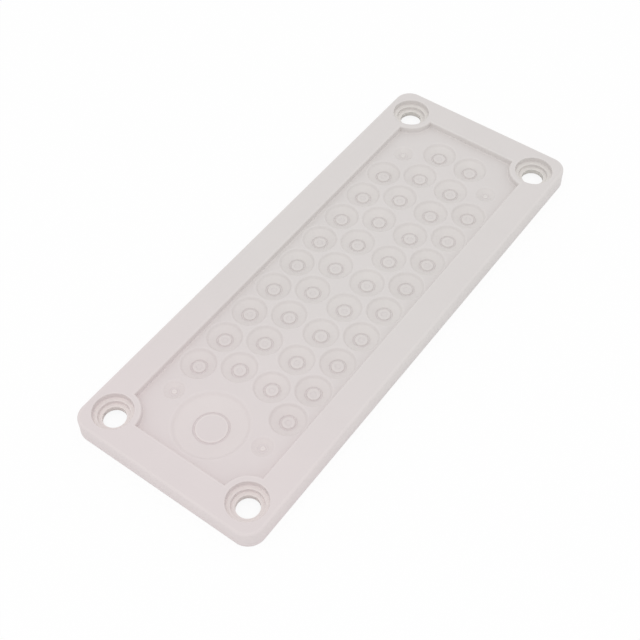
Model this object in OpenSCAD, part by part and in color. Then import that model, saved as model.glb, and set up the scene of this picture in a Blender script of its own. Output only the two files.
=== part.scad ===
// Membrane entry plate for cables, moulded in one piece.
// A stiff frame surrounds a recessed web. The web carries rows of funnels, each closed
// by a thin button that a cable end pushes through. Four stepped holes take the screws.
// X runs across the plate and Y along it. The sealing lip underneath stands on Z = 0,
// and depths are counted down from the top face of the frame.

/* [Plate] */
// Width across the frame
plate_w = 96.8; // [96:0.2:104]
// Length along the frame
plate_l = 252; // [248:1:270]
// Height from the foot of the lip to the top face
plate_t = 9.5; // [9.2:0.1:12]
// Radius of the four corners in plan
corner_r = 8; // [6:0.5:10]
// Rounding of the outer top edge
edge_r = 1; // [0.4:0.1:1.6]

/* [Sealing lip] */
// Height of the lip round the underside
lip_h = 2.3; // [1.5:0.1:2.6]
// Width of the lip at its root
lip_w = 3; // [2.2:0.1:4]
// How far the lip stands out past the side wall
lip_proud = 0.1; // [0.05:0.05:0.4]
// Chamfer at the foot of the lip
lip_chamfer = 0.4; // [0.2:0.1:0.8]

/* [Recess and web] */
// Width of the frame along each side of the recess
side_rim = 13.9; // [13.4:0.1:14.3]
// Width of the frame at each end of the recess
end_rim = 14; // [13:0.1:15]
// Depth of the recess down to the web
recess_d = 3.2; // [2.4:0.1:3.6]
// Rounding of the top edge of the recess
recess_edge_r = 0.8; // [0.3:0.1:1.2]
// Thickness of the web between the funnels
web_t = 2.5; // [1.6:0.1:2.6]

/* [Screw corners] */
// Distance of the screw holes from the long sides
screw_side = 12.4; // [12:0.1:13.4]
// Distance of the screw holes from the ends
screw_end = 13.5; // [12.5:0.1:15]
// Radius of the boss that rounds off each corner of the recess
boss_r = 12; // [11.5:0.1:13]
// Radius of the upper step, for the screw head
head_r = 9; // [8:0.1:9.4]
// Depth of the upper step
head_d = 2.9; // [2:0.1:3.2]
// Radius of the middle step, for a washer
washer_r = 7; // [6.2:0.1:7.8]
// Depth of the middle step
washer_d = 4.6; // [4:0.1:5.2]
// Radius of the screw hole
bore_r = 5.2; // [3.5:0.1:5.8]
// Rounding of the mouth of the screw hole
screw_edge_r = 0.4; // [0.2:0.1:0.6]

/* [Funnel section] */
// Share of the funnel's depth that the step inside its mouth takes
step_share = 0.38; // [0.3:0.02:0.44]
// Width of the tear groove round the button
groove_w = 1.2; // [0.8:0.1:1.3]
// Depth of the tear groove below the funnel floor
groove_d = 0.6; // [0.3:0.1:0.8]
// Height of the button above the floor of the tear groove
button_h = 0.7; // [0.5:0.1:0.9]
// Thickness of the skin left under the tear groove
skin_t = 0.6; // [0.5:0.1:0.9]

/* [Medium funnels] */
// Radius of the mouth
mid_mouth_r = 8.8; // [7:0.1:8.9]
// Rounding of the edge of the mouth
mid_edge_r = 1.1; // [0.5:0.1:1.4]
// Width of the step inside the mouth
mid_step_w = 1.5; // [1.2:0.1:1.8]
// Radius of the tear groove
mid_ring_r = 3.4; // [2.6:0.1:4.2]
// Depth of the tear groove below the top face
mid_depth = 6.7; // [6.2:0.1:7]
// Radius of the dish in the middle of the button
dish_r = 1.4; // [1:0.1:2]
// Depth of the dish
dish_d = 0.25; // [0.1:0.05:0.3]
// Rib left between two funnels of a column
rib_w = 0.15; // [0.1:0.05:1.5]
// Space between the outer columns and the side of the recess
side_gap = 1.2; // [0.8:0.1:1.5]
// Least space at the far end of the inner columns
end_gap = 4.5; // [2:0.5:8]
// Least space between the inner columns and the large funnel
large_gap = 3; // [1:0.5:6]
// Least space between the outer columns and the small funnels
small_gap = 2; // [1:0.5:4]

/* [Large funnel] */
// Radius of the mouth
large_mouth_r = 17.6; // [14:0.1:18]
// Rounding of the edge of the mouth
large_edge_r = 2; // [1:0.1:3]
// Width of the step inside the mouth
large_step_w = 2.3; // [2:0.1:4]
// Radius of the tear groove
large_ring_r = 7.55; // [6:0.05:9]
// Distance of its middle from the near end of the recess
large_end = 19.9; // [19:0.1:24]

/* [Small funnels] */
// Radius of the mouth
small_mouth_r = 5.4; // [4.4:0.1:5.8]
// Rounding of the edge of the mouth
small_edge_r = 1.5; // [0.5:0.1:2]
// Width of the step inside the mouth
small_step_w = 1.4; // [1:0.1:1.8]
// Radius of the tear groove
small_ring_r = 1.7; // [1.4:0.1:2.2]
// Width of the tear groove
small_groove_w = 1.5; // [0.8:0.1:1.6]
// Depth of the tear groove below the funnel floor
small_groove_d = 0.3; // [0.2:0.1:0.5]
// Height of the button above the floor of the tear groove
small_button_h = 0.5; // [0.4:0.1:0.6]
// Distance of their middles from the sides of the recess
small_side = 10.4; // [9:0.1:11.5]
// Distance of their middles from the ends of the recess
small_end = 24.2; // [23:0.1:26]

/* [Hidden] */
grey = [0.87, 0.84, 0.84];

$fn = 72;
arc_steps = 4;
clear = 1;
lip_fillet = 0.8;
lip_taper = 0.3;
button_edge = 0.25;
bump_inset = 0.5;

// Straight and round outlines shared by several cuts
half_w = plate_w / 2;
half_l = plate_l / 2;
recess_w = plate_w - 2 * side_rim;
recess_l = plate_l - 2 * end_rim;
screw_x = half_w - screw_side;
screw_y = half_l - screw_end;
pitch = 2 * mid_mouth_r + rib_w;
inner_x = pitch / 2;
outer_x = recess_w / 2 - side_gap - mid_mouth_r;
large_y = large_end - recess_l / 2;
small_x = recess_w / 2 - small_side;
small_y = recess_l / 2 - small_end;
web_foot = plate_t - recess_d - web_t;
small_depth = recess_d + web_t - skin_t;

// Rows of the outer columns lie on whole pitches, those of the inner ones on half pitches
outer_last = floor((small_y - small_mouth_r - small_gap - mid_mouth_r) / pitch);
inner_first = ceil((large_y + large_mouth_r + large_gap + mid_mouth_r) / pitch - 0.5);
inner_last = floor((recess_l / 2 - end_gap - mid_mouth_r) / pitch - 0.5);
mid_places = concat(
    [for (s = [-1, 1], k = [-outer_last:outer_last]) [s * outer_x, k * pitch]],
    [for (s = [-1, 1], k = [inner_first:inner_last]) [s * inner_x, (k + 0.5) * pitch]]);
small_places = [for (s = [-1, 1], e = [-1, 1]) [s * small_x, e * small_y]];

function height(depth) = plate_t - depth;
function arc(c, r, from, to) =
    [for (i = [0:arc_steps]) let (a = from + (to - from) * i / arc_steps) c + r * [cos(a), sin(a)]];
function flip(points) = [for (i = [len(points) - 1:-1:0]) [-points[i].x, points[i].y]];
function shift(points, x) = [for (p = points) [p.x + x, p.y]];

// Side of the plate from the root of the lip, round its foot and up to the top edge,
// counted from the nominal outline
side = concat(
    [[-lip_w - lip_fillet, lip_h], [-lip_w, lip_h - lip_fillet], [lip_taper - lip_w, 0],
     [lip_proud - lip_chamfer, 0], [lip_proud, lip_chamfer], [lip_proud, lip_h - lip_proud], [0, lip_h]],
    arc([-edge_r, plate_t - edge_r], edge_r, 0, 90));

module slab(half, length) {
    linear_extrude(height = length, center = true)
        polygon(concat(shift(side, half), flip(shift(side, half))));
}

module corner() {
    rotate_extrude(angle = 90)
        polygon(concat([[0, lip_h]], shift(side, corner_r), [[0, plate_t]]));
}

// Solid plate with its lip, before the recess is cut
module blank() {
    rotate([90, 0, 0]) slab(half_w, plate_l - 2 * corner_r);
    rotate([90, 0, 90]) slab(half_l, plate_w - 2 * corner_r);
    for (q = [0:3]) {
        sx = (q == 0 || q == 3) ? 1 : -1;
        sy = q < 2 ? 1 : -1;
        translate([sx * (half_w - corner_r), sy * (half_l - corner_r), 0]) rotate(90 * q) corner();
    }
}

module screw_places() {
    for (x = [-1, 1], y = [-1, 1]) translate([x * screw_x, y * screw_y, 0]) children();
}

// Recess run right through the frame, its straight walls rounded off at the top
module straight_walls(width, length) {
    wall = concat([[width / 2, -clear]],
        arc([width / 2 + recess_edge_r, plate_t - recess_edge_r], recess_edge_r, 180, 90),
        [[width / 2 + recess_edge_r, plate_t + clear]]);
    linear_extrude(height = length, center = true) polygon(concat(wall, flip(wall)));
}

// Boss left standing round a screw hole, rounded off in the same way
module boss() {
    rotate_extrude() polygon(concat([[0, -2 * clear], [boss_r, -2 * clear]],
        arc([boss_r - recess_edge_r, plate_t - recess_edge_r], recess_edge_r, 0, 90),
        [[boss_r - recess_edge_r, plate_t + 2 * clear], [0, plate_t + 2 * clear]]));
}

module window() {
    difference() {
        intersection() {
            rotate([90, 0, 0]) straight_walls(recess_w, recess_l + 4 * clear);
            rotate([90, 0, 90]) straight_walls(recess_l, recess_w + 4 * clear);
        }
        screw_places() boss();
    }
}

// Stepped hole: room for the screw head, a step for a washer, then the screw hole
module screw_cut() {
    rotate_extrude() polygon(concat(
        [[0, -clear], [bore_r, -clear], [bore_r, height(washer_d)], [washer_r, height(washer_d)],
         [washer_r, height(head_d)], [head_r, height(head_d)]],
        arc([head_r + screw_edge_r, plate_t - screw_edge_r], screw_edge_r, 180, 90),
        [[head_r + screw_edge_r, plate_t + clear], [0, plate_t + clear]]));
}

// Air above a funnel: rounded mouth, step, sloping floor, tear groove, button.
// The rounding ends where a line from the foot of the step touches it.
module funnel_cut(mouth_r, edge_r, step_w, ring_r, depth, width, dip, rise, dish = 0) {
    web = height(recess_d);
    groove = height(depth);
    top = groove + rise;
    button_r = ring_r - width / 2;
    drop = step_share * (depth - recess_d);
    touch = 180 + atan2(drop - edge_r, step_w) - acos(edge_r / norm([step_w, edge_r - drop]));
    rotate_extrude() polygon(concat(
        dish > 0 ? [[0, top - dish_d], [dish - dish_d, top - dish_d], [dish, top]] : [[0, top]],
        [[button_r - button_edge, top], [button_r, top - button_edge], [ring_r - width / 4, groove],
         [ring_r + width / 4, groove], [ring_r + width / 2, groove + dip],
         [mouth_r - step_w, web - drop]],
        arc([mouth_r, web - edge_r], edge_r, touch, 90),
        [[mouth_r, web + clear], [0, web + clear]]));
}

// Underside of a deep funnel, standing out below the web
module funnel_bump(mouth_r, ring_r) {
    foot = height(mid_depth + skin_t);
    foot_r = ring_r + groove_w + skin_t;
    slope = (mouth_r - bump_inset - foot_r) / (web_foot - foot);
    tall = web_foot + web_t / 2 - foot;
    translate([0, 0, foot]) cylinder(h = tall, r1 = foot_r, r2 = foot_r + slope * tall);
}

module web() {
    translate([0, 0, web_foot + web_t / 2])
        cube([recess_w + 2 * clear, recess_l + 2 * clear, web_t], center = true);
}

module entry_plate() {
    color(grey) difference() {
        union() {
            difference() {
                blank();
                window();
            }
            web();
            for (p = mid_places) translate(p) funnel_bump(mid_mouth_r, mid_ring_r);
            translate([0, large_y]) funnel_bump(large_mouth_r, large_ring_r);
        }
        screw_places() screw_cut();
        for (p = mid_places) translate(p) funnel_cut(mid_mouth_r, mid_edge_r, mid_step_w,
            mid_ring_r, mid_depth, groove_w, groove_d, button_h, dish_r);
        for (p = small_places) translate(p) funnel_cut(small_mouth_r, small_edge_r, small_step_w,
            small_ring_r, small_depth, small_groove_w, small_groove_d, small_button_h);
        translate([0, large_y]) funnel_cut(large_mouth_r, large_edge_r, large_step_w,
            large_ring_r, mid_depth, groove_w, groove_d, button_h);
    }
}

entry_plate();
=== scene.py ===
import math
import bmesh
import bpy
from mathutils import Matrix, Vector


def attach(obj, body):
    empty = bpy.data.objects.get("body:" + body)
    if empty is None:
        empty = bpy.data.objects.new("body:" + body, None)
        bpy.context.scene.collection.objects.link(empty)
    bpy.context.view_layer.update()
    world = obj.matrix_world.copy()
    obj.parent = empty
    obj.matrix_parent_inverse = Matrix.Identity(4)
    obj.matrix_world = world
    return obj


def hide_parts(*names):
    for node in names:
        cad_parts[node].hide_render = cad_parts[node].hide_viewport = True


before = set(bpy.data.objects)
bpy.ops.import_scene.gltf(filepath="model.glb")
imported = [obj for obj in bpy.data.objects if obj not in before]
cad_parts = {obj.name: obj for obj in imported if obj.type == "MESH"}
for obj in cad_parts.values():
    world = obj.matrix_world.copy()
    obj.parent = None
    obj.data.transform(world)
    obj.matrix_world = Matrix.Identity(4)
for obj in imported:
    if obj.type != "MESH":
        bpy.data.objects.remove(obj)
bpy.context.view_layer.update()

scene = bpy.context.scene
mm = 0.001

# Sizes of the plate in millimetres, the same as the solid's. A collar is the narrow rim by
# which a shell or band meets its flat face. The edge's painted highlight lightens the colour of the
# rounded edges, and the foot's painted light lightens a strip of web along the recess wall, against the
# shade there.
# The foot's fade is the width of that painted strip
plate = {
    "halfWidth": 48.4, "halfLength": 126.0, "height": 9.5, "cornerRadius": 8.0, "topRounding": 1.0,
    "recessHalfWidth": 34.5, "recessHalfLength": 112.0, "recessDepth": 3.2, "recessRounding": 0.8,
    "bossRadius": 12.0, "screwAcross": 36.0, "screwAlong": 112.5,
    "lipHeight": 2.3, "lipWidth": 3.0, "lipProud": 0.1, "lipChamfer": 0.4, "lipFillet": 0.8,
    "lipSlant": 0.3, "filletStart": 0.05, "filletBend": 0.5, "lipInnerEdge": 0.12,
    "lipOuterEdge": 0.15, "lipSeam": 0.08,
    "webThickness": 2.5, "footFillet": 0.3, "edgeBreak": 0.3,
    "collar": 0.12, "mouthCollar": 0.03,
    "edgeFade": 0.5, "edgePaintedHighlight": 0.8, "footFade": 0.7, "footPaintedLight": 2.0,
    "weldDistance": 0.003, "creaseDegrees": 32,
}
topHeight = plate["height"]
webHeight = topHeight - plate["recessDepth"]
webFoot = webHeight - plate["webThickness"]
frameFoot = plate["lipHeight"]
collar, mouthCollar = plate["collar"], plate["mouthCollar"]


class Wire:
    # An output socket that sums can be written with
    def __init__(self, graph, socket):
        self.graph, self.socket = graph, socket

    def __add__(self, other): return self.graph.sum("ADD", self, other)
    def __radd__(self, other): return self.graph.sum("ADD", other, self)
    def __sub__(self, other): return self.graph.sum("SUBTRACT", self, other)
    def __rsub__(self, other): return self.graph.sum("SUBTRACT", other, self)
    def __mul__(self, other): return self.graph.sum("MULTIPLY", self, other)
    def __rmul__(self, other): return self.graph.sum("MULTIPLY", other, self)
    def __gt__(self, other): return self.graph.sum("GREATER_THAN", self, other)


class Graph:
    # Adds nodes to a shader or geometry tree
    def __init__(self, tree):
        self.tree = tree

    def node(self, kind, settings=None, values=None, output=0):
        made = self.tree.nodes.new(kind)
        for name, value in (settings or {}).items():
            setattr(made, name, value)
        for name, value in (values or {}).items():
            for one in (value if isinstance(value, list) else [value]):
                if isinstance(one, Wire):
                    self.tree.links.new(one.socket, made.inputs[name])
                else:
                    made.inputs[name].default_value = one
        return Wire(self, made.outputs[output]) if made.outputs else made

    def sum(self, operation, a, b):
        return self.node("ShaderNodeMath", {"operation": operation}, {0: a, 1: b})


# Section lines and the meshes swept from them

def roundedLine(corners, wideStep=15.0, smallStep=26.0, smallRadius=0.3):
    # Corners are (across, up, radius, painted light or shade); the first and the last stay sharp.
    # A step is the degrees that one facet of a rounding turns
    line = []
    for k, (across, up, radius, *rest) in enumerate(corners):
        here, light = Vector((across, up)), (rest or [0.0])[0]
        if radius == 0 or k in (0, len(corners) - 1):
            line.append((*here, light))
            continue
        back = (Vector(corners[k - 1][:2]) - here).normalized()
        ahead = (Vector(corners[k + 1][:2]) - here).normalized()
        half = back.angle(ahead) / 2
        middle = here + (back + ahead).normalized() * radius / math.sin(half)
        first = here + back * radius / math.tan(half) - middle
        last = here + ahead * radius / math.tan(half) - middle
        start = math.atan2(first.y, first.x)
        turn = math.atan2(first.x * last.y - first.y * last.x, first.dot(last))
        degrees = wideStep if radius > smallRadius else smallStep
        count = max(2, round(abs(math.degrees(turn)) / degrees))
        for step in range(count + 1):
            angle = start + turn * step / count
            line.append((*(middle + radius * Vector((math.cos(angle), math.sin(angle)))), light))
    return line


def plainMesh(name, build):
    made = bmesh.new()
    # Each point carries painted light (above nought) or painted shade (below nought), which the material
    # puts into its colour
    layer = made.verts.layers.float.new("lightness")

    def spot(x, y, height=0.0, light=0.0):
        vertex = made.verts.new((x * mm, y * mm, height * mm))
        vertex[layer] = light
        return vertex

    build(made, spot)
    for face in made.faces:
        face.smooth = True
    mesh = bpy.data.meshes.new(name)
    made.to_mesh(mesh)
    made.free()
    thing = bpy.data.objects.new(name, mesh)
    scene.collection.objects.link(thing)
    return thing


def lathe(name, section, segments):
    # Turned shell; section is (radius, height, painted light or shade) from its rim to its middle
    def build(made, spot):
        rings = []
        turns = [2 * math.pi * k / segments for k in range(segments)]
        for radius, height, light in section:
            if radius < 1e-6:
                rings.append([spot(0, 0, height, light)])
                continue
            rings.append([spot(radius * math.cos(t), radius * math.sin(t), height, light) for t in turns])
        for outer, inner in zip(rings, rings[1:]):
            for k in range(segments):
                n = (k + 1) % segments
                rest = (inner[0],) if len(inner) == 1 else (inner[n], inner[k])
                made.faces.new((outer[k], outer[n]) + rest)
    return plainMesh(name, build)


def sweep(name, path, section):
    # Closed band along a path of (point, outward direction); section is (offset, height, painted light or
    # shade)
    def build(made, spot):
        rows = [[spot(*(point + aside * offset), height, light) for point, aside in path]
                for offset, height, light in section]
        for low, high in zip(rows, rows[1:]):
            for k in range(len(path)):
                n = (k + 1) % len(path)
                made.faces.new((low[k], low[n], high[n], high[k]))
    return plainMesh(name, build)


def outline(name, *loops):
    # Bare edge loops that a flat face is filled between
    def build(made, spot):
        for loop in loops:
            spots = [spot(*point) for point in loop]
            for k, first in enumerate(spots):
                made.edges.new((first, spots[(k + 1) % len(spots)]))
    return plainMesh(name, build)


def offsetLoop(path, offset):
    return [point + aside * offset for point, aside in path]


def mitre(a, b):
    return (a + b) / (1 + a.dot(b))


def roundedRectangle(halfWidth, halfLength, radius, steps=14):
    path = []
    for sideX, sideY, start in ((1, 1, 0), (-1, 1, 90), (-1, -1, 180), (1, -1, 270)):
        centre = Vector((sideX * (halfWidth - radius), sideY * (halfLength - radius)))
        for k in range(steps + 1):
            angle = math.radians(start + 90 * k / steps)
            aside = Vector((math.cos(angle), math.sin(angle)))
            path.append((centre + aside * radius, aside))
    return path


def recessOutline(steps=20):
    # Straight sides, with a round boss standing in each corner
    wide, long, radius = plate["recessHalfWidth"], plate["recessHalfLength"], plate["bossRadius"]
    centre = Vector((plate["screwAcross"], plate["screwAlong"]))
    first = Vector((wide, centre.y - math.sqrt(radius ** 2 - (centre.x - wide) ** 2)))
    last = Vector((centre.x - math.sqrt(radius ** 2 - (centre.y - long) ** 2), long))
    start, end = [math.atan2(*(spot - centre).yx) % (2 * math.pi) for spot in (first, last)]
    quarter = []
    for k in range(steps + 1):
        angle = start + (end - start) * k / steps
        outward = Vector((math.cos(angle), math.sin(angle)))
        aside = -outward
        if k == 0:
            aside = mitre(Vector((1, 0)), aside)
        if k == steps:
            aside = mitre(aside, Vector((0, 1)))
        quarter.append((centre + outward * radius, aside))
    path = []
    for sideX, sideY in ((1, 1), (-1, 1), (-1, -1), (1, -1)):
        side = Vector((sideX, sideY))
        turned = [(point * side, aside * side) for point, aside in quarter]
        path += turned if sideX * sideY > 0 else turned[::-1]
    return path


# Funnels: a rounded mouth, a step, a sloping floor, a tear groove and a button
funnels = {
    "segments": 48, "underSegments": 32, "stepShare": 0.38, "stepBend": 0.9,
    "grooveBend": 0.12, "grooveFloor": 0.42,
    # Painted light and shade in the funnels' colour: a painted highlight on the mouth's rounding and the
    # button's edge, painted light on the sloping floor, painted shade on the groove's floor
    "mouthPaintedHighlight": 0.4, "floorPaintedLight": 0.75, "groovePaintedShade": -0.3,
    "buttonRounding": 0.25, "paintedLightWidth": 0.8, "dishDepth": 0.25, "dishRim": 0.3, "dishFoot": 0.2,
    "skin": 0.6, "bumpInset": 0.5, "bumpRoot": 0.6, "bumpEdge": 0.5, "rootReach": 0.2,
    "medium": {"mouth": 8.8, "rounding": 1.1, "step": 1.5, "ring": 3.4, "depth": 6.7, "dish": 1.4,
               "grooveWidth": 1.2, "grooveDepth": 0.6, "buttonHeight": 0.7, "paintedLight": 1.0},
    "large": {"mouth": 17.6, "rounding": 2.0, "step": 2.3, "ring": 7.55, "depth": 6.7, "dish": 0.0,
              "grooveWidth": 1.2, "grooveDepth": 0.6, "buttonHeight": 0.7, "paintedLight": 2.2},
    "small": {"mouth": 5.4, "rounding": 1.5, "step": 1.4, "ring": 1.7, "depth": 5.1, "dish": 0.0,
              "grooveWidth": 1.5, "grooveDepth": 0.3, "buttonHeight": 0.5, "paintedLight": 3.0},
    "pitch": 17.75, "outerColumns": 24.5, "outerRows": 9, "innerRows": 10, "innerShift": 1,
    "largeAlong": -92.1, "smallAcross": 24.1, "smallAlong": 87.8,
}
rootRim = funnels["rootReach"] + collar


def funnelSection(size):
    f, one = funnels, funnels[size]
    mouth, rounding, step, ring = one["mouth"], one["rounding"], one["step"], one["ring"]
    groove = topHeight - one["depth"]
    button = groove + one["buttonHeight"]
    half = one["grooveWidth"] / 2
    drop = f["stepShare"] * (one["depth"] - plate["recessDepth"])
    # The rounding ends where a line from the foot of the step touches it
    reach = math.hypot(step, rounding - drop)
    turn = math.pi / 2 + math.atan2(drop - rounding, step) - math.acos(rounding / reach)
    corners = [
        (mouth + mouthCollar, webHeight, 0),
        (mouth - rounding * math.tan(turn / 2), webHeight, rounding, f["mouthPaintedHighlight"]),
        (mouth - step, webHeight - drop, rounding * f["stepBend"], f["floorPaintedLight"]),
        (ring + half, groove + one["grooveDepth"], f["grooveBend"], f["floorPaintedLight"]),
        (ring + half / 2, groove, f["grooveFloor"], f["groovePaintedShade"]),
        (ring - half / 2, groove, f["grooveFloor"], f["groovePaintedShade"]),
        (ring - half, button, f["buttonRounding"], one["paintedLight"]),
    ]
    floor = button
    if one["dish"]:
        floor -= f["dishDepth"]
        corners += [(one["dish"], button, f["dishRim"]),
                    (one["dish"] - f["dishDepth"], floor, f["dishFoot"])]
    elif ring - half > f["paintedLightWidth"]:
        corners.append((ring - half - f["paintedLightWidth"], button, 0))
    corners.append((0, floor, 0, 0.0 if ring - half > f["paintedLightWidth"] else one["paintedLight"]))
    return roundedLine(corners)


def bumpSection(size):
    # Underside of a deep funnel
    f, one = funnels, funnels[size]
    foot = topHeight - one["depth"] - f["skin"]
    rootRadius = one["mouth"] - f["bumpInset"]
    return roundedLine([
        (rootRadius + rootRim, webFoot, 0),
        (rootRadius, webFoot, f["bumpRoot"]),
        (one["ring"] + one["grooveWidth"] + f["skin"], foot, f["bumpEdge"]),
        (0, foot, 0)])


# Stepped screw holes: room for the head, a step for a washer, and the hole
# Inside the holes the ledges and walls carry painted light against the shade there, and the rim a painted
# highlight
screwHole = {"segments": 64, "headRadius": 9.0, "headDepth": 2.9, "washerRadius": 7.0,
             "washerDepth": 4.6, "boreRadius": 5.2, "mouthRounding": 0.4, "edgeBreak": 0.12,
             "fade": 0.3, "rimPaintedHighlight": 1.0, "paintedLight": 3.0, "headWallPaintedLight": 0.6,
             "washerWallPaintedLight": 1.8, "borePaintedLight": 4.5}
holeRim = screwHole["headRadius"] + screwHole["mouthRounding"] + collar
boreRim = screwHole["boreRadius"] + screwHole["edgeBreak"] + collar


def screwHoleSection():
    s = screwHole
    headFloor, washerFloor = topHeight - s["headDepth"], topHeight - s["washerDepth"]
    small = s["edgeBreak"]
    return roundedLine([
        (holeRim, topHeight, 0),
        (s["headRadius"], topHeight, s["mouthRounding"], s["rimPaintedHighlight"]),
        (s["headRadius"], headFloor, small, s["headWallPaintedLight"]),
        (s["headRadius"] - s["fade"], headFloor, 0, s["paintedLight"]),
        (s["washerRadius"] + s["fade"], headFloor, 0, s["paintedLight"]),
        (s["washerRadius"], headFloor, small, s["washerWallPaintedLight"]),
        (s["washerRadius"], washerFloor, small, s["washerWallPaintedLight"]),
        (s["washerRadius"] - s["fade"], washerFloor, 0, s["paintedLight"]),
        (s["boreRadius"] + s["fade"], washerFloor, 0, s["paintedLight"]),
        (s["boreRadius"], washerFloor, small, s["borePaintedLight"]),
        (s["boreRadius"], frameFoot, small, s["borePaintedLight"]),
        (boreRim, frameFoot, 0)])


# Geometry trees that set turned shells into a flat face and fill the face round their rims

def newTree(name, sockets):
    tree = bpy.data.node_groups.new(name, "GeometryNodeTree")
    for title, kind in sockets.items():
        tree.interface.new_socket(title, in_out="INPUT", socket_type="NodeSocket" + kind)
    tree.interface.new_socket("Geometry", in_out="OUTPUT", socket_type="NodeSocketGeometry")
    graph = Graph(tree)
    given = tree.nodes.new("NodeGroupInput")
    return graph, {title: Wire(graph, given.outputs[title]) for title in sockets}


def gridPoints(graph, across, along, columns, rows, shift=0.0):
    grid = graph.node("GeometryNodeMeshGrid", None,
                      {"Size X": across, "Size Y": along, "Vertices X": columns, "Vertices Y": rows})
    place = graph.node("ShaderNodeCombineXYZ", None, {"Y": shift})
    moved = graph.node("GeometryNodeTransform", None, {"Geometry": grid, "Translation": place})
    return graph.node("GeometryNodeMeshToPoints", None, {"Mesh": moved})


def shellsAndRims(graph, points, shell, rim, segments):
    shape = graph.node("GeometryNodeObjectInfo", None, {"Object": shell}, "Geometry")
    shells = graph.node("GeometryNodeInstanceOnPoints", None, {"Points": points, "Instance": shape})
    circle = graph.node("GeometryNodeCurvePrimitiveCircle", None, {"Resolution": segments, "Radius": rim})
    rims = graph.node("GeometryNodeInstanceOnPoints", None, {"Points": points, "Instance": circle})
    return shells, rims


def closeTree(graph, given, shells, rims):
    edge = graph.node("GeometryNodeObjectInfo", None, {"Object": given["Outline"]}, "Geometry")
    loops = graph.node("GeometryNodeMeshToCurve", None, {"Mesh": edge})
    allLoops = graph.node("GeometryNodeJoinGeometry", None, {"Geometry": rims + [loops]})
    flatLoops = graph.node("GeometryNodeRealizeInstances", None, {"Geometry": allLoops})
    face = graph.node("GeometryNodeFillCurve", None, {"Curve": flatLoops})
    height = graph.node("ShaderNodeCombineXYZ", None, {"Z": given["Height"]})
    lifted = graph.node("GeometryNodeTransform", None, {"Geometry": face, "Translation": height})
    flat = graph.node("GeometryNodeSetShadeSmooth", None, {"Geometry": lifted, "Shade Smooth": False})
    joined = graph.node("GeometryNodeJoinGeometry", None, {"Geometry": shells + [flat]})
    real = graph.node("GeometryNodeRealizeInstances", None, {"Geometry": joined})
    coated = graph.node("GeometryNodeSetMaterial", None, {"Geometry": real, "Material": given["Material"]})
    graph.node("NodeGroupOutput", None, {"Geometry": coated})


def funnelFieldTree():
    graph, given = newTree("funnelField", {
        "Outline": "Object", "Height": "Float", "Segments": "Int", "Material": "Material",
        "Pitch": "Float", "Outer Columns": "Float", "Outer Rows": "Int",
        "Inner Rows": "Int", "Inner Shift": "Float", "Large Along": "Float",
        "Small Across": "Float", "Small Along": "Float",
        "Medium Shell": "Object", "Medium Rim": "Float", "Large Shell": "Object", "Large Rim": "Float",
        "Small Shell": "Object", "Small Rim": "Float"})
    pitch, outerRows, innerRows = given["Pitch"], given["Outer Rows"], given["Inner Rows"]
    outer = gridPoints(graph, given["Outer Columns"] * 2, (outerRows - 1) * pitch, 2, outerRows)
    inner = gridPoints(graph, pitch, (innerRows - 1) * pitch, 2, innerRows, given["Inner Shift"])
    medium = graph.node("GeometryNodeJoinGeometry", None, {"Geometry": [outer, inner]})
    small = gridPoints(graph, given["Small Across"] * 2, given["Small Along"] * 2, 2, 2)
    place = graph.node("ShaderNodeCombineXYZ", None, {"Y": given["Large Along"]})
    large = graph.node("GeometryNodePoints", None, {"Count": 1, "Position": place})
    shells, rims = [], []
    for points, size in ((medium, "Medium"), (large, "Large"), (small, "Small")):
        if size == "Small":  # the underside has no small shells, so a rim of 0 leaves them out
            points = graph.node("GeometryNodeSwitch", {"input_type": "GEOMETRY"},
                                {"Switch": given["Small Rim"] > 0, "True": points})
        shell, rim = shellsAndRims(graph, points, given[size + " Shell"], given[size + " Rim"],
                                   given["Segments"])
        shells.append(shell)
        rims.append(rim)
    closeTree(graph, given, shells, rims)
    return graph.tree


def screwCornersTree():
    graph, given = newTree("screwCorners", {
        "Outline": "Object", "Height": "Float", "Segments": "Int", "Material": "Material",
        "Across": "Float", "Along": "Float", "Shell": "Object", "Rim": "Float"})
    points = gridPoints(graph, given["Across"] * 2, given["Along"] * 2, 2, 2)
    shells, rims = shellsAndRims(graph, points, given["Shell"], given["Rim"], given["Segments"])
    closeTree(graph, given, [shells], [rims])
    return graph.tree


def grownMesh(name, tree, values):
    # Runs a tree on an empty carrier and keeps the plain mesh that comes out
    carrier = bpy.data.objects.new(name, bpy.data.meshes.new(name))
    scene.collection.objects.link(carrier)
    modifier = carrier.modifiers.new(name, "NODES")
    modifier.node_group = tree
    for item in tree.interface.items_tree:
        if item.in_out == "INPUT" and item.name in values:
            modifier[item.identifier] = values[item.name]
    carrier.update_tag()
    ready = carrier.evaluated_get(bpy.context.evaluated_depsgraph_get())
    mesh = bpy.data.meshes.new_from_object(ready)
    carrier.modifiers.remove(modifier)
    bpy.data.objects.remove(carrier)
    return mesh


# Moulded elastomer: light warm grey, matt, with a fine grain left by the mould
elastomer = {
    "near": (0.742, 0.673, 0.673), "far": (0.706, 0.671, 0.659), "paintedFalloffFrom": -0.12, "paintedFalloffTo": 0.01,
    "mottle": 0.02, "swirlScale": 60.0, "swirlDetail": 4.0,
    "paintedLightGain": (0.035, 0.040, 0.033), "paintedLightLeast": 0.6, "paintedLightSwirl": 0.8,
    "grainScale": 5200.0, "grainDetail": 2.0, "grainDepth": 0.00001, "grainStrength": 0.6,
    "roughness": 0.55, "roughnessSpread": 0.12, "refraction": 1.45,
}


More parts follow.
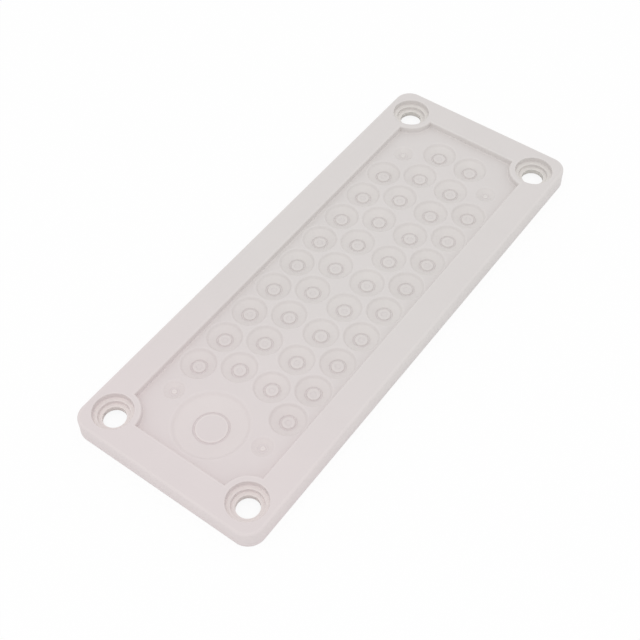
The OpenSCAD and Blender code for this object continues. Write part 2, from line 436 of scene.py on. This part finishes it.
def makeElastomer():
    e = elastomer
    material = bpy.data.materials.new("elastomer")
    material.use_nodes = True
    material.node_tree.nodes.clear()
    graph = Graph(material.node_tree)
    place = graph.node("ShaderNodeTexCoord", None, None, "Object")
    along = graph.node("ShaderNodeSeparateXYZ", None, {"Vector": place}, "Y")
    # Painted light falloff: the base colour is lighter and pinker towards the near end than at the far end
    share = graph.node("ShaderNodeMapRange", {"interpolation_type": "SMOOTHSTEP"},
                       {"Value": along, "From Min": e["paintedFalloffFrom"], "From Max": e["paintedFalloffTo"]})
    base = graph.node("ShaderNodeMix", {"data_type": "RGBA"},
                      {"Factor": share, 6: (*e["near"], 1), 7: (*e["far"], 1)}, 2)
    swirl = graph.node("ShaderNodeTexNoise", None,
                       {"Vector": place, "Scale": e["swirlScale"], "Detail": e["swirlDetail"]})
    # Painted light and shade: the points' values lighten or darken the colour, standing in for highlights
    # and shade
    lightness = graph.node("ShaderNodeAttribute",
                           {"attribute_type": "GEOMETRY", "attribute_name": "lightness"}, None, "Fac")
    tone = 1 - e["mottle"] + 2 * e["mottle"] * swirl
    paintedLight = lightness * (e["paintedLightLeast"] + e["paintedLightSwirl"] * swirl)
    tones = [tone * (1 + paintedLight * gain) for gain in e["paintedLightGain"]]
    tint = graph.node("ShaderNodeCombineColor", None, dict(zip(("Red", "Green", "Blue"), tones)))
    colour = graph.node("ShaderNodeMix", {"data_type": "RGBA", "blend_type": "MULTIPLY"},
                        {"Factor": 1.0, 6: base, 7: tint}, 2)
    grain = graph.node("ShaderNodeTexNoise", None,
                       {"Vector": place, "Scale": e["grainScale"], "Detail": e["grainDetail"]})
    rough = e["roughness"] + e["roughnessSpread"] * (grain * 0.5 + swirl * 0.5 - 0.5)
    bump = graph.node("ShaderNodeBump", None,
                      {"Strength": e["grainStrength"], "Distance": e["grainDepth"], "Height": grain})
    shader = graph.node("ShaderNodeBsdfPrincipled", None,
                        {"Base Color": colour, "Roughness": rough, "Normal": bump, "IOR": e["refraction"]})
    graph.node("ShaderNodeOutputMaterial", None, {"Surface": shader})
    return material


elastomerMaterial = makeElastomer()
print("material ready")

outerPath = roundedRectangle(plate["halfWidth"], plate["halfLength"], plate["cornerRadius"])
recessPath = recessOutline()
railInset = -plate["topRounding"] - plate["edgeFade"]
lipRoot = -plate["lipWidth"] - plate["lipFillet"]
recessLip = plate["recessRounding"] + plate["edgeFade"]
footEdge = -plate["footFillet"] - mouthCollar
webInset = footEdge - plate["footFade"]
footReach = plate["edgeBreak"] + collar

helpers = [
    lathe("mediumFunnel", funnelSection("medium"), funnels["segments"]),
    lathe("largeFunnel", funnelSection("large"), funnels["segments"]),
    lathe("smallFunnel", funnelSection("small"), funnels["segments"]),
    lathe("mediumBump", bumpSection("medium"), funnels["underSegments"]),
    lathe("largeBump", bumpSection("large"), funnels["underSegments"]),
    lathe("screwHole", screwHoleSection(), screwHole["segments"]),
    lathe("boreMouth", [(boreRim, frameFoot, 0), (boreRim + collar, frameFoot, 0)],
          screwHole["segments"]),
    outline("webEdge", offsetLoop(recessPath, webInset)),
    outline("railTop", offsetLoop(outerPath, railInset), offsetLoop(recessPath, recessLip)),
    outline("railUnder", offsetLoop(outerPath, lipRoot - collar), offsetLoop(recessPath, footReach)),
]
helper = {thing.name: thing for thing in helpers}

# Bands that run round the plate: its side with the lip, and the walls of the recess
lipIn, lipOut, lipChamfer = -plate["lipWidth"], plate["lipProud"], plate["lipChamfer"]
bands = [
    sweep("sideBand", outerPath, roundedLine([
        (lipRoot - collar, frameFoot, 0),
        (lipRoot, frameFoot, plate["filletStart"]),
        (lipIn, frameFoot - plate["lipFillet"], plate["filletBend"]),
        (lipIn + plate["lipSlant"], 0, plate["lipInnerEdge"]),
        (lipOut - lipChamfer, 0, plate["lipOuterEdge"]),
        (lipOut, lipChamfer, plate["lipOuterEdge"]),
        (lipOut, frameFoot - lipOut, plate["lipSeam"]),
        (0, frameFoot, plate["lipSeam"]),
        # The top edge's rounding carries a painted highlight
        (0, topHeight, plate["topRounding"], plate["edgePaintedHighlight"]),
        (railInset, topHeight, 0)])),
    sweep("recessBand", recessPath, roundedLine([
        # The recess's rounded edge carries a painted highlight, and the web by the wall's foot painted
        # light against the shade there
        (recessLip, topHeight, 0), (0, topHeight, plate["recessRounding"], plate["edgePaintedHighlight"]),
        (0, webHeight, plate["footFillet"]), (footEdge, webHeight, 0, plate["footPaintedLight"]),
        (webInset, webHeight, 0)])),
    sweep("underBand", recessPath, roundedLine([
        (footReach, frameFoot, 0), (0, frameFoot, plate["edgeBreak"]),
        (0, webFoot, plate["footFillet"]), (webInset, webFoot, 0)])),
]

field = {
    "Material": elastomerMaterial, "Segments": funnels["segments"], "Pitch": funnels["pitch"] * mm,
    "Outer Columns": funnels["outerColumns"] * mm, "Outer Rows": funnels["outerRows"],
    "Inner Rows": funnels["innerRows"], "Inner Shift": funnels["innerShift"] * funnels["pitch"] * mm,
    "Large Along": funnels["largeAlong"] * mm,
    "Small Across": funnels["smallAcross"] * mm, "Small Along": funnels["smallAlong"] * mm,
}
corners = {"Material": elastomerMaterial, "Segments": screwHole["segments"],
           "Across": plate["screwAcross"] * mm, "Along": plate["screwAlong"] * mm}
fieldTree, cornersTree = funnelFieldTree(), screwCornersTree()
mouths = {size: funnels[size]["mouth"] for size in ("medium", "large", "small")}
bumpRim = rootRim - funnels["bumpInset"]
grown = [
    grownMesh("webTopFace", fieldTree, {
        **field, "Outline": helper["webEdge"], "Height": webHeight * mm,
        "Medium Shell": helper["mediumFunnel"], "Medium Rim": (mouths["medium"] + mouthCollar) * mm,
        "Large Shell": helper["largeFunnel"], "Large Rim": (mouths["large"] + mouthCollar) * mm,
        "Small Shell": helper["smallFunnel"], "Small Rim": (mouths["small"] + mouthCollar) * mm}),
    grownMesh("webUnderFace", fieldTree, {
        **field, "Outline": helper["webEdge"], "Height": webFoot * mm,
        "Segments": funnels["underSegments"],
        "Medium Shell": helper["mediumBump"], "Medium Rim": (mouths["medium"] + bumpRim) * mm,
        "Large Shell": helper["largeBump"], "Large Rim": (mouths["large"] + bumpRim) * mm,
        "Small Rim": 0.0}),
    grownMesh("railTopFace", cornersTree, {
        **corners, "Outline": helper["railTop"], "Height": topHeight * mm,
        "Shell": helper["screwHole"], "Rim": holeRim * mm}),
    grownMesh("railUnderFace", cornersTree, {
        **corners, "Outline": helper["railUnder"], "Height": frameFoot * mm,
        "Shell": helper["boreMouth"], "Rim": (boreRim + collar) * mm}),
]
print("faces and shells grown:", [len(mesh.polygons) for mesh in grown])


def joinedPlate():
    # Welds all parts of the skin into one closed mesh
    made = bmesh.new()
    for mesh in grown + [band.data for band in bands]:
        made.from_mesh(mesh)
    bmesh.ops.remove_doubles(made, verts=made.verts, dist=plate["weldDistance"] * mm)
    bmesh.ops.recalc_face_normals(made, faces=made.faces)
    openEdges = [edge for edge in made.edges if not edge.is_manifold]
    crease = math.radians(plate["creaseDegrees"])
    for edge in made.edges:
        edge.smooth = len(edge.link_faces) == 2 and edge.calc_face_angle() < crease
    print("open edges:", len(openEdges), "volume cm3:", round(made.calc_volume() * 1e6, 2))
    mesh = bpy.data.meshes.new("entryPlate")
    made.to_mesh(mesh)
    made.free()
    mesh.materials.clear()
    mesh.materials.append(elastomerMaterial)
    for face in mesh.polygons:
        face.material_index = 0
    thing = bpy.data.objects.new("entryPlate", mesh)
    scene.collection.objects.link(thing)
    return thing


entryPlate = joinedPlate()
for thing in helpers + bands:
    bpy.data.objects.remove(thing)
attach(entryPlate, "root")
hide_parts("entry_plate")
print("plate ready, triangles:", sum(len(face.vertices) - 2 for face in entryPlate.data.polygons))


# Plain studio, in metres
studio = {
    "floorReach": 6.0, "floorDrop": 0.00002,
    "floorColour": (0.97, 0.97, 0.97), "floorGlow": 0.9, "skyStrength": 0.858,
    "keyPlace": (0.1, -0.5, 1.88), "keySize": 1.0, "keyPower": 4.95,
}


def lookedAt(graph):
    # 1 for rays from the camera, a gloss or a clear piece, 0 for the rest
    path = graph.tree.nodes.new("ShaderNodeLightPath")
    kinds = ("Is Camera Ray", "Is Glossy Ray", "Is Transmission Ray")
    camera, gloss, clear = [Wire(graph, path.outputs[kind]) for kind in kinds]
    return camera + gloss + clear > 0


def makeFloor():
    mesh = bpy.data.meshes.new("floor")
    reach = studio["floorReach"]
    mesh.from_pydata([(-reach, -reach, 0), (reach, -reach, 0), (reach, reach, 0), (-reach, reach, 0)],
                     [], [(0, 1, 2, 3)])
    floor = bpy.data.objects.new("floor", mesh)
    scene.collection.objects.link(floor)
    floor.location.z = -studio["floorDrop"]
    material = bpy.data.materials.new("paleFloor")
    material.use_nodes = True
    material.node_tree.nodes.clear()
    graph = Graph(material.node_tree)
    seen = lookedAt(graph)
    matt = graph.node("ShaderNodeBsdfDiffuse", None, {"Color": (*studio["floorColour"], 1)})
    glow = graph.node("ShaderNodeEmission", None, {"Color": (1, 1, 1, 1), "Strength": 1.0})
    mixed = graph.node("ShaderNodeMixShader", None, {0: seen * studio["floorGlow"], 1: matt, 2: glow})
    graph.node("ShaderNodeOutputMaterial", None, {"Surface": mixed})
    mesh.materials.append(material)


def makeSky():
    world = bpy.data.worlds.new("studio")
    scene.world = world
    world.use_nodes = True
    world.node_tree.nodes.clear()
    graph = Graph(world.node_tree)
    seen = lookedAt(graph)
    lit = graph.node("ShaderNodeBackground", None,
                     {"Color": (1, 1, 1, 1), "Strength": studio["skyStrength"]})
    white = graph.node("ShaderNodeBackground", None, {"Color": (1, 1, 1, 1), "Strength": 1.0})
    mixed = graph.node("ShaderNodeMixShader", None, {0: seen, 1: lit, 2: white})
    graph.node("ShaderNodeOutputWorld", None, {"Surface": mixed})


def makeLamp(name, place, size, power):
    lamp = bpy.data.lights.new(name, "AREA")
    lamp.size = size
    lamp.energy = power
    thing = bpy.data.objects.new(name, lamp)
    scene.collection.objects.link(thing)
    thing.location = place
    thing.rotation_euler = (-Vector(place)).to_track_quat("-Z", "Y").to_euler()


makeFloor()
makeSky()
makeLamp("softbox", studio["keyPlace"], studio["keySize"], studio["keyPower"])

view = {"place": (0.19215, -0.26652, 0.41015), "turn": (37.4137, 0.7894, 36.4077),
        "lens": 64.1, "sensor": 36.0, "nearest": 0.01, "farthest": 50.0}
camera = bpy.data.objects.new("camera", bpy.data.cameras.new("camera"))
scene.collection.objects.link(camera)
camera.location = view["place"]
camera.rotation_euler = [math.radians(angle) for angle in view["turn"]]
camera.data.lens = view["lens"]
camera.data.sensor_width = view["sensor"]
camera.data.clip_start, camera.data.clip_end = view["nearest"], view["farthest"]
scene.camera = camera
scene.view_settings.view_transform = "Standard"
print("studio ready")
